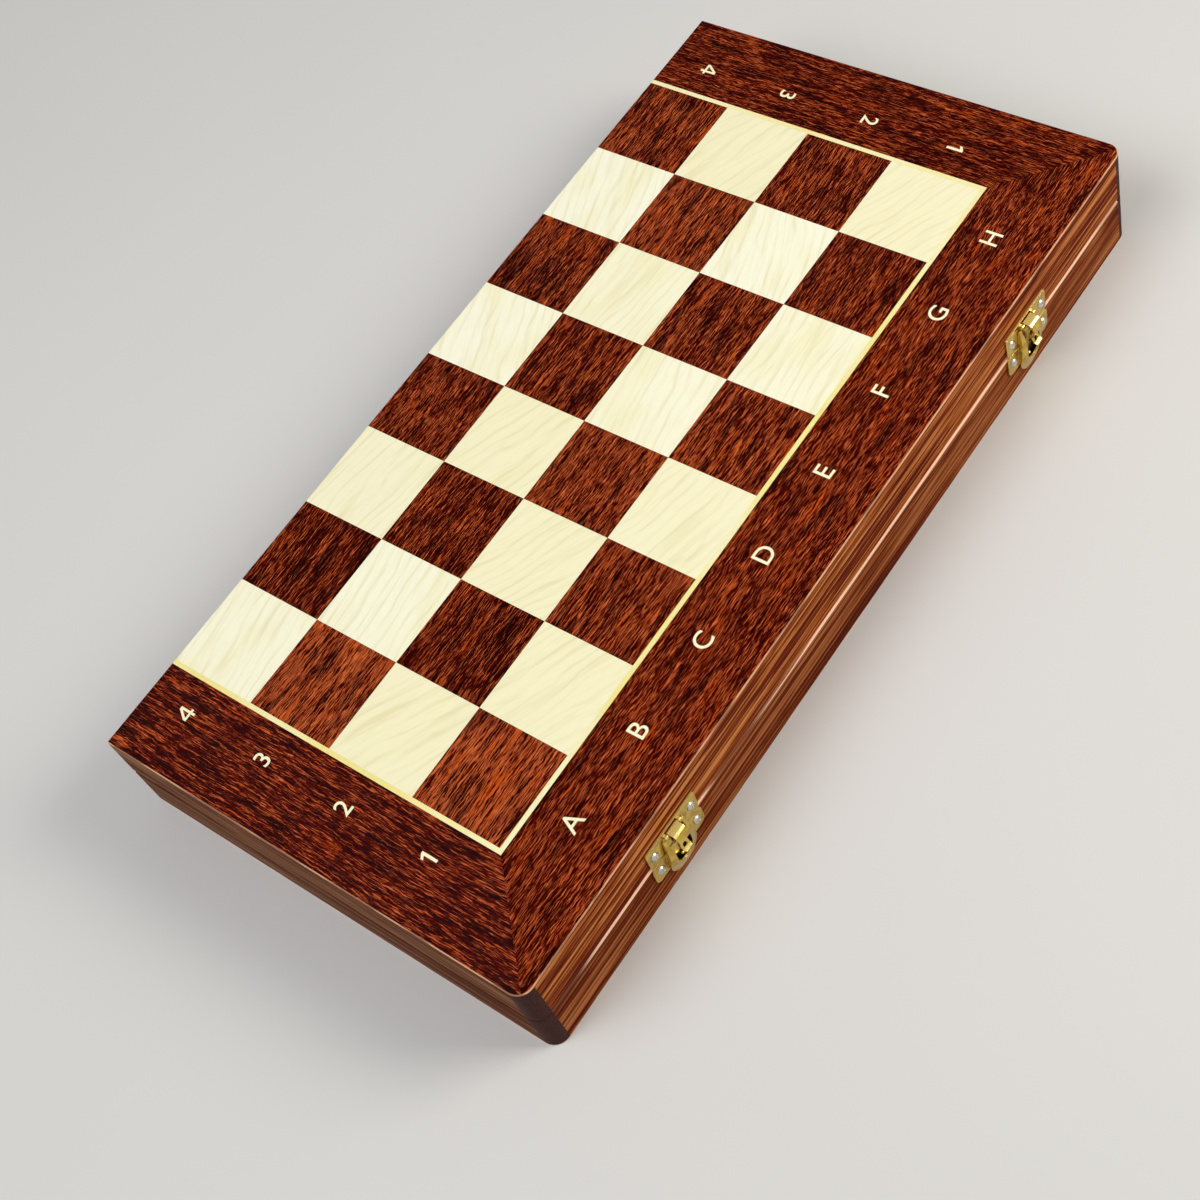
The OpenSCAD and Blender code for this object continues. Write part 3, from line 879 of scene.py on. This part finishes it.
@dataclass(frozen=True)
class PaleLine(Finish):
    """The thin inlaid line round the squares, a little yellower than they are."""

    fibre_scale: Triple = (500.0, 500.0, 900.0)
    slow_scale: float = 14.0
    pale: str = "f7efba"
    yellow: str = "f2e48e"
    fibre: str = "d9c577"
    yellow_at: Range = (0.4, 0.65)
    fibre_at: Range = (0.45, 0.8, 0.0, 0.3)
    roughness: float = 0.36

    def build(self) -> Material:
        """Makes the material.

        Returns:
            The material, ready to paint a piece with.
        """
        board = MaterialBoard(self.name)
        along = board.vector("MULTIPLY", board.place, self.fibre_scale)
        fine = board.noise(along, 1.0, detail=3.0, rough=0.6)
        slow = board.noise(board.place, self.slow_scale, detail=2.0, rough=0.5)
        colour = board.mix(board.span(slow, *self.yellow_at), self.pale, self.yellow)
        colour = board.mix(board.span(fine, *self.fibre_at), colour, self.fibre)
        relief = self.bump(board, fine)
        return board.finished(Base_Color=colour, Roughness=self.roughness, Normal=relief)


@dataclass(frozen=True)
class Ink(Finish):
    """Cream print of the letters and numbers, slightly uneven."""

    relief: float = 0.02 * MM
    uneven_scale: float = 900.0
    full: str = "fbf6cf"
    thin: str = "eadfa6"
    thin_at: Range = (0.4, 0.8)
    roughness: float = 0.5

    def build(self) -> Material:
        """Makes the material.

        Returns:
            The material, ready to paint a piece with.
        """
        board = MaterialBoard(self.name)
        uneven = board.noise(board.place, self.uneven_scale, detail=3.0, rough=0.6)
        colour = board.mix(board.span(uneven, *self.thin_at), self.full, self.thin)
        relief = self.bump(board, uneven)
        return board.finished(Base_Color=colour, Roughness=self.roughness, Normal=relief)


@dataclass(frozen=True)
class Flock(Finish):
    """Short green pile that covers the inserts."""

    relief: float = 0.3 * MM
    pile_scale: float = 1500.0
    brush_scale: float = 22.0
    deep: str = "0f3a26"
    green: str = "1d5a3c"
    tips: str = "2f7552"
    green_at: Range = (0.35, 0.7)
    tips_at: Range = (0.45, 0.8, 0.0, 0.5)
    roughness: float = 0.95
    sheen_level: float = 0.2
    fuzz: float = 0.5
    fuzz_roughness: float = 0.4

    def build(self) -> Material:
        """Makes the material.

        Returns:
            The material, ready to paint a piece with.
        """
        board = MaterialBoard(self.name)
        pile = board.noise(board.place, self.pile_scale, detail=2.0, rough=0.7)
        brushed = board.noise(board.place, self.brush_scale, detail=3.0, rough=0.55, bend=0.8)
        colour = board.mix(board.span(brushed, *self.green_at), self.deep, self.green)
        colour = board.mix(board.span(pile, *self.tips_at), colour, self.tips)
        return board.finished(
            Base_Color=colour,
            Roughness=self.roughness,
            Sheen_Weight=self.fuzz,
            Sheen_Roughness=self.fuzz_roughness,
            Specular_IOR_Level=self.sheen_level,
            Normal=self.bump(board, pile),
        )


@dataclass(frozen=True)
class Metal(Finish):
    """Stamped or turned metal with handling marks, paler edges where it wears, and a painted
    highlight on faces that turn upwards.
    """

    relief: float = 0.02 * MM
    edge_radius: float = 0.3 * MM
    colour: str = "dcbd58"
    smeared: str = "b8963f"
    # The pale colour marks edge wear and, on faces that turn upwards, a painted highlight.
    rubbed: str = "efd684"
    smeared_at: Range = (0.35, 0.7)
    upward_at: Range = (0.5, 0.95)
    dull_at: Range = (0.3, 0.75)
    bare: float = 0.45
    roughness: float = 0.15
    dull: float = 0.16

    def build(self) -> Material:
        """Makes the material.

        Returns:
            The material, ready to paint a piece with.
        """
        board = MaterialBoard(self.name)
        marks = board.group(Effects.handled(), Vector=board.place)
        smear = marks.outputs["Smear"]
        edge = self.edge(board)
        colour = board.mix(board.span(smear, *self.smeared_at), self.colour, self.smeared)
        # Faces that turn upwards take the pale colour and less metal: a painted highlight of the
        # lamps. The edges take it as wear.
        up = board.span(board.axis(board.normal, 2), *self.upward_at)
        brightened = board.math("MAXIMUM", edge.outputs["Mask"], up, clamp=True)
        colour = board.mix(brightened, colour, self.rubbed)
        metal = board.math("MULTIPLY_ADD", brightened, -self.bare, 1.0)
        rough = board.span(smear, *self.dull_at, self.roughness, self.roughness + self.dull)
        relief = self.bump(board, marks.outputs["Speck"], edge)
        return board.finished(Base_Color=colour, Metallic=metal, Roughness=rough, Normal=relief)


@dataclass(frozen=True)
class StudioPaint(Finish):
    """Plain pale paint of the floor."""

    colour: str = "dbdad6"
    cloudy: str = "d6d4d0"
    cloud_scale: float = 3.0
    roughness: float = 0.75

    def build(self) -> Material:
        """Makes the material.

        Returns:
            The material, ready to paint a piece with.
        """
        board = MaterialBoard(self.name)
        cloud = board.noise(board.place, self.cloud_scale, detail=2.0, rough=0.5)
        colour = board.mix(cloud, self.colour, self.cloudy)
        return board.finished(Base_Color=colour, Roughness=self.roughness)


# ---- the case ----


class Half(Enum):
    """The two halves of the case."""

    LOWER = "lower"
    UPPER = "upper"

    @property
    def body(self) -> str:
        """The body that the half rides on."""
        return self.value + "_half"


@dataclass
class Board:
    """Where the squares lie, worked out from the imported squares."""

    columns: int = 8
    rows: int = 4
    left: float = field(init=False)
    front: float = field(init=False)
    square: float = field(init=False)
    top: float = field(init=False)

    def __post_init__(self) -> None:
        """Reads the field of squares from the frame."""
        low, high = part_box("upper_dark_squares")
        self.left = low[0]
        self.front = low[1]
        self.square = (high[0] - low[0]) / self.columns
        self.top = high[2]

    def column_middle(self, index: int) -> float:
        """Where the middle of a file is along the case."""
        return self.left + (index + 0.5) * self.square

    def row_middle(self, index: int) -> float:
        """Where the middle of a row is across the case, counted from the catches."""
        return self.front + (index + 0.5) * self.square


@dataclass
class Lettering:
    """Letters and numbers printed on the border of one half."""

    half: Half
    board: Board
    letter_height: float = 9.1 * MM
    digit_height: float = 8.8 * MM
    letter_gap: float = 20.2 * MM
    digit_gap: float = 19.2 * MM
    boldness: float = 0.006
    curve_steps: int = 6
    thickness: float = 0.06 * MM
    proud: float = 0.02 * MM
    cap_share: float = 0.72
    # The number one: its stroke and flag against its height, then in strokes.
    stroke_share: float = 0.165
    flag_share: float = 0.22
    flag_fall: float = 0.75
    flag_lap: float = 0.8
    flag_root: float = 1.25
    # The number four: its strokes, stem and bar against its height, then in strokes.
    thin_share: float = 0.14
    stem_share: float = 0.46
    bar_share: float = 0.22
    bar_reach: float = 0.74
    crown_lap: float = 0.3
    slant_foot: float = 1.15

    def outline_of(self, text: str, height: float) -> Piece:
        """Writes one sign in the built-in letters.

        Args:
            text: The sign.
            height: Its height on the board.

        Returns:
            The text object.
        """
        bpy.ops.object.select_all(action="DESELECT")
        bpy.ops.object.text_add()
        sign = bpy.context.object
        sign.data.body = text
        sign.data.size = height / self.cap_share
        sign.data.offset = self.boldness * height / self.cap_share
        sign.data.extrude = self.thickness / 2
        sign.data.resolution_u = self.curve_steps
        return sign

    def outline_of_one(self, height: float) -> Piece:
        """Draws the number one with a flag and no foot.

        Args:
            height: Its height on the board.

        Returns:
            The flat curve object.
        """
        stroke = height * self.stroke_share
        reach = height * self.flag_share
        drop = reach * self.flag_fall
        outer = [
            (0.0, 0.0),
            (0.0, height),
            (-stroke * self.flag_lap, height),
            (-stroke - reach, height - drop),
            (-stroke - reach, height - drop - stroke),
            (-stroke, height - stroke * self.flag_root),
            (-stroke, 0.0),
        ]
        return self.cut_out("number_one", [outer])

    def outline_of_four(self, height: float) -> Piece:
        """Draws the number four with thin strokes and an open triangle.

        Args:
            height: Its height on the board.

        Returns:
            The flat curve object.
        """
        thin = height * self.thin_share
        stem = height * self.stem_share
        bar = height * self.bar_share
        reach = height * self.bar_reach
        foot = bar + thin * self.slant_foot
        crown = stem - thin * self.crown_lap
        rise = height - foot
        slant = math.hypot(crown, rise)
        start = (thin * rise / slant, foot - thin * crown / slant)
        slope = rise / crown
        hole_left = start[0] + (bar + thin - start[1]) / slope
        hole_top = start[1] + (stem - start[0]) * slope
        outer = [
            (stem, 0.0),
            (stem + thin, 0.0),
            (stem + thin, bar),
            (reach, bar),
            (reach, bar + thin),
            (stem + thin, bar + thin),
            (stem + thin, height),
            (crown, height),
            (0.0, foot),
            (0.0, bar),
            (stem, bar),
        ]
        hole = [(hole_left, bar + thin), (stem, hole_top), (stem, bar + thin)]
        return self.cut_out("number_four", [outer, hole])

    def cut_out(self, name: str, loops: list[Loop]) -> Piece:
        """Makes a flat sign from straight-sided loops.

        Args:
            name: The sign's name.
            loops: The corners of the outline and of any hole in it.

        Returns:
            The flat curve object.
        """
        line = bpy.data.curves.new(name, "CURVE")
        line.dimensions = "2D"
        line.fill_mode = "BOTH"
        line.extrude = self.thickness / 2
        for corners in loops:
            path = line.splines.new("POLY")
            path.points.add(len(corners) - 1)
            for point, (across, up) in zip(path.points, corners):
                point.co = (across, up, 0.0, 1.0)
            path.use_cyclic_u = True
        sign = bpy.data.objects.new(name, line)
        bpy.context.scene.collection.objects.link(sign)
        return sign

    def glyph(self, text: str, height: float, place: Vector, turned: bool) -> Piece:
        """Makes one letter or number as a thin mesh.

        Args:
            text: The sign.
            height: Its height on the board.
            place: Its middle on the face.
            turned: Whether it stands upside down as seen from the catches.

        Returns:
            The finished piece.
        """
        drawn = {"1": self.outline_of_one, "4": self.outline_of_four}
        sign = drawn[text](height) if text in drawn else self.outline_of(text, height)
        only_select(sign)
        bpy.ops.object.convert(target="MESH")
        low = Vector([min(v.co[i] for v in sign.data.vertices) for i in range(3)])
        high = Vector([max(v.co[i] for v in sign.data.vertices) for i in range(3)])
        fit = height / (high.y - low.y)
        shape = Matrix.Diagonal((fit, fit, 1.0, 1.0)) @ Matrix.Translation(-(low + high) / 2)
        if turned:
            shape = Matrix.Rotation(math.pi, 4, "Z") @ shape
        if self.half is Half.LOWER:
            shape = Matrix.Rotation(math.pi, 4, "X") @ shape
        sign.data.transform(Matrix.Translation(place) @ shape)
        sign.name = f"{self.half.value}_sign_{text}" + ("_turned" if turned else "")
        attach(sign, self.half.body)
        return sign

    def build(self) -> list[Piece]:
        """Makes every sign of this half's border.

        Returns:
            The letters from A to H and then both copies of each number.
        """
        lower = self.half is Half.LOWER
        lift = self.proud - self.thickness / 2
        level = -lift if lower else self.board.top + lift
        made: list[Piece] = []
        front = self.board.front - self.letter_gap
        for index, letter in enumerate("ABCDEFGH"):
            spot = Vector((self.board.column_middle(index), front, level))
            made.append(self.glyph(letter, self.letter_height, spot, lower))
        right = self.board.left + self.board.columns * self.board.square + self.digit_gap
        for row in range(self.board.rows):
            rank = 2 * self.board.rows - row if lower else row + 1
            for across, turned in ((self.board.left - self.digit_gap, False), (right, True)):
                spot = Vector((across, self.board.row_middle(row), level))
                made.append(self.glyph(str(rank), self.digit_height, spot, turned))
        return made

    def dress(self, signs: list[Piece], finish: Material) -> None:
        """Prints every sign in the same finish."""
        for sign in signs:
            paint(sign, finish)


@dataclass
class Insert:
    """The flocked insert of one half, with its trough lips rounded over."""

    half: Half
    lip: float = 1.3 * MM
    lip_steps: int = 3
    weld: float = 0.01 * MM
    flat: float = math.radians(1)
    sharp: float = math.radians(28)

    def build(self) -> Piece:
        """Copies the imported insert, joins its loose faces and rounds its edges.

        Returns:
            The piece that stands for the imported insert.
        """
        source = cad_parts[self.half.value + "_insert"]
        piece = bpy.data.objects.new(self.half.value + "_flocked_insert", source.data.copy())
        bpy.context.scene.collection.objects.link(piece)
        only_select(piece)
        bpy.ops.object.mode_set(mode="EDIT")
        bpy.ops.mesh.select_all(action="SELECT")
        bpy.ops.mesh.remove_doubles(threshold=self.weld)
        bpy.ops.mesh.dissolve_limited(angle_limit=self.flat)
        bpy.ops.object.mode_set(mode="OBJECT")
        round_over = piece.modifiers.new("lips", "BEVEL")
        round_over.width = self.lip
        round_over.segments = self.lip_steps
        round_over.limit_method = "ANGLE"
        round_over.angle_limit = self.sharp
        bpy.ops.object.modifier_apply(modifier=round_over.name)
        bpy.ops.object.shade_smooth_by_angle(angle=self.sharp)
        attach(piece, self.half.body)
        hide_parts(source.name)
        return piece

    def dress(self, piece: Piece, finish: Material) -> None:
        """Covers the insert with pile."""
        paint(piece, finish)


# The colours of the long and the end walls of each half, and the seed of their grain.
WALL_WOOD = {
    Half.UPPER: (WallTone.LONG_UPPER, WallTone.END_UPPER, 11.0),
    Half.LOWER: (WallTone.LONG_LOWER, WallTone.END_LOWER, 12.0),
}
# How the veneer of each border strip differs from that of the dark squares. The right strip is set
# darker, partly as painted shade.
BORDER_WOOD = {
    "front": {"gain": 2.5, "middle": 0.28},
    "left": {"gain": 2.2, "middle": 0.21, "sheen_level": 0.05, "grain": Grain.ACROSS_CASE},
    "right": {"gain": 2.4, "middle": 0.2, "grain": Grain.ACROSS_CASE},
}
FACE_SEED = {Half.UPPER: 20.0, Half.LOWER: 40.0}


@dataclass
class Tray:
    """One half of the case: four walls, a panel and its board face."""

    half: Half
    board: Board

    def node(self, name: str) -> Piece:
        """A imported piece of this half."""
        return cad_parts[f"{self.half.value}_{name}"]

    def dress_walls(self) -> None:
        """Finishes the four walls."""
        name = self.half.value
        low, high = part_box(name + "_left_rail")
        long_tones, end_tones, seed = WALL_WOOD[self.half]
        long_wood = RailWood(
            name + "_long_wall",
            tones=long_tones,
            rim=low[2] if self.half is Half.UPPER else high[2],
            seed=seed,
        )
        end_wood = RailWood(
            name + "_end_wall",
            grain=Grain.ACROSS_CASE,
            tones=end_tones,
            sheen_level=0.01,
            end_front=low[1] + high[0] - low[0],
            end_back=high[1],
            seed=seed + 2,
        )
        for wood, sides in ((long_wood, ("front", "back")), (end_wood, ("left", "right"))):
            finish = wood.build()
            for side in sides:
                paint(self.node(side + "_rail"), finish)

    def dress_face(self) -> None:
        """Finishes the panel, the border, the line and the squares."""
        name = self.half.value
        seed = FACE_SEED[self.half]
        corner = (self.board.left, self.board.front, LEAF_FLOOR)
        paint(self.node("panel"), PlyWood(name + "_panel_wood").build())
        paint(self.node("line"), PaleLine(name + "_line_wood").build())
        for side, settings in BORDER_WOOD.items():
            wood = RedVeneer(f"{name}_border_{side}_wood", seed=seed, leaf_swing=0.0, **settings)
            paint(self.node("border_" + side), wood.build())
            seed += 1
        squares = {"leaf": self.board.square, "corner": corner}
        dark = RedVeneer(name + "_dark_square_wood", seed=seed + 1, **squares)
        light = PaleVeneer(name + "_light_square_wood", seed=seed + 2, **squares)
        paint(self.node("dark_squares"), dark.build())
        paint(self.node("light_squares"), light.build())


@dataclass
class Ironmongery:
    """The hinges and the catches."""

    brass: Metal = Metal("polished_brass")
    hinge: Metal = Metal(
        "satin_brass", colour="c9a24a", smeared="9c7730", rubbed="e8cd86", roughness=0.32
    )
    steel: Metal = Metal(
        "bright_steel", colour="d4d2ca", smeared="a9a69e", rubbed="f2f1ec", roughness=0.16
    )

    def dress(self) -> None:
        """Finishes every metal piece of the frame."""
        brass, hinge, steel = self.brass.build(), self.hinge.build(), self.steel.build()
        for name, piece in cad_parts.items():
            if name.endswith("_screws"):
                paint(piece, steel)
            elif "_hinge_" in name:
                paint(piece, hinge)
            elif "_catch_" in name:
                paint(piece, brass)


# ---- studio ----


def aimed(place: Place, aim: Place) -> Quaternion:
    """Works out how a lamp or the camera turns to look from one place at another."""
    return (Vector(aim) - Vector(place)).to_track_quat("-Z", "Y")


@dataclass
class Lamp:
    """One soft square lamp with a grid in front, aimed at the case."""

    name: str
    place: Place
    size: float
    power: float
    colour: str
    aim: Place = (0.0, 0.0, 0.03)
    beam: float = 110.0

    def light(self) -> bpy.types.Light:
        """Makes the light itself.

        Returns:
            A square area light.
        """
        light = bpy.data.lights.new(self.name, "AREA")
        light.shape = "SQUARE"
        light.size = self.size
        light.spread = math.radians(self.beam)
        light.energy = self.power
        return light

    def build(self) -> None:
        """Hangs the lamp."""
        light = self.light()
        light.color = tone(self.colour)[:3]
        holder = bpy.data.objects.new(self.name, light)
        holder.location = self.place
        holder.rotation_euler = aimed(self.place, self.aim).to_euler()
        bpy.context.scene.collection.objects.link(holder)


@dataclass
class FarLamp(Lamp):
    """Even light from far away as seen under its size in degrees, for case and floor alike."""

    def light(self) -> bpy.types.Light:
        """Makes the light itself.

        Returns:
            A sun light.
        """
        light = bpy.data.lights.new(self.name, "SUN")
        light.angle = math.radians(self.size)
        light.energy = self.power
        return light


@dataclass
class Studio:
    """Floor, lamps, world and camera."""

    floor_size: float = 12.0
    eye: Place = (-0.35816, -0.46808, 0.77724)
    aim: Place = (-0.07747, -0.04077, 0.057)
    roll: float = math.radians(25.097)
    lens: float = 60.166
    sensor: float = 36.0
    nearest: float = 0.01
    lamps: tuple[Lamp, ...] = (
        Lamp("key", (0.85, -1.15, 1.15), 0.9, 7.9, "fffaf2"),
        Lamp("fill", (-1.0, 0.35, 1.35), 1.1, 3.4, "f7f9ff"),
        FarLamp("far_fill", (-1.0, 0.35, 1.35), 35.0, 0.78, "f7f9ff"),
    )
    sky: str = "ffffff"
    sky_strength: float = 0.28
    seen_strength: float = 0.6

    def build_floor(self) -> None:
        """Lays the floor under the case."""
        bpy.ops.object.select_all(action="DESELECT")
        bpy.ops.mesh.primitive_plane_add(size=self.floor_size)
        floor = bpy.context.object
        floor.name = "floor"
        paint(floor, StudioPaint("floor_paint").build())

    def build_light(self) -> None:
        """Hangs the lamps and lights the world evenly."""
        for lamp in self.lamps:
            lamp.build()
        world = bpy.data.worlds.new("studio")
        bpy.context.scene.world = world
        world.use_nodes = True
        back = world.node_tree.nodes["Background"]
        back.inputs["Color"].default_value = tone(self.sky)
        board = NodeBoard(world.node_tree)
        path = board.add("LightPath")
        seen = board.math("MAXIMUM", path.outputs["Is Camera Ray"], path.outputs["Is Glossy Ray"])
        seen = board.math("MAXIMUM", seen, path.outputs["Is Transmission Ray"])
        strength = board.span(seen, 0.0, 1.0, self.sky_strength, self.seen_strength)
        board.feed(back.inputs["Strength"], strength)

    def build_camera(self) -> None:
        """Sets the camera and its roll."""
        lens = bpy.data.cameras.new("camera")
        lens.lens = self.lens
        lens.sensor_width = self.sensor
        lens.clip_start = self.nearest
        camera = bpy.data.objects.new("camera", lens)
        look = aimed(self.eye, self.aim).to_matrix().to_4x4()
        spin = Matrix.Rotation(-self.roll, 4, "Z")
        camera.matrix_world = Matrix.Translation(Vector(self.eye)) @ look @ spin
        bpy.context.scene.collection.objects.link(camera)
        bpy.context.scene.camera = camera

    def build(self) -> None:
        """Builds the whole studio."""
        self.build_floor()
        self.build_light()
        self.build_camera()
        bpy.context.scene.view_settings.view_transform = "Standard"


# ---- making ----


def main() -> None:
    """Builds and dresses the case piece by piece."""
    logging.basicConfig(level=logging.INFO, format="%(name)s: %(message)s")
    Studio().build()
    LOG.info("studio ready")
    board = Board()
    ink = Ink("cream_print").build()
    pile = Flock("green_pile").build()
    for half in Half:
        tray = Tray(half, board)
        tray.dress_walls()
        tray.dress_face()
        LOG.info("%s half dressed", half.value)
        insert = Insert(half)
        insert.dress(insert.build(), pile)
        LOG.info("%s insert made", half.value)
        lettering = Lettering(half, board)
        signs = lettering.build()
        lettering.dress(signs, ink)
        LOG.info("%s border has %d signs", half.value, len(signs))
    Ironmongery().dress()
    LOG.info("hinges and catches dressed")


if __name__ == "__main__":
    main()
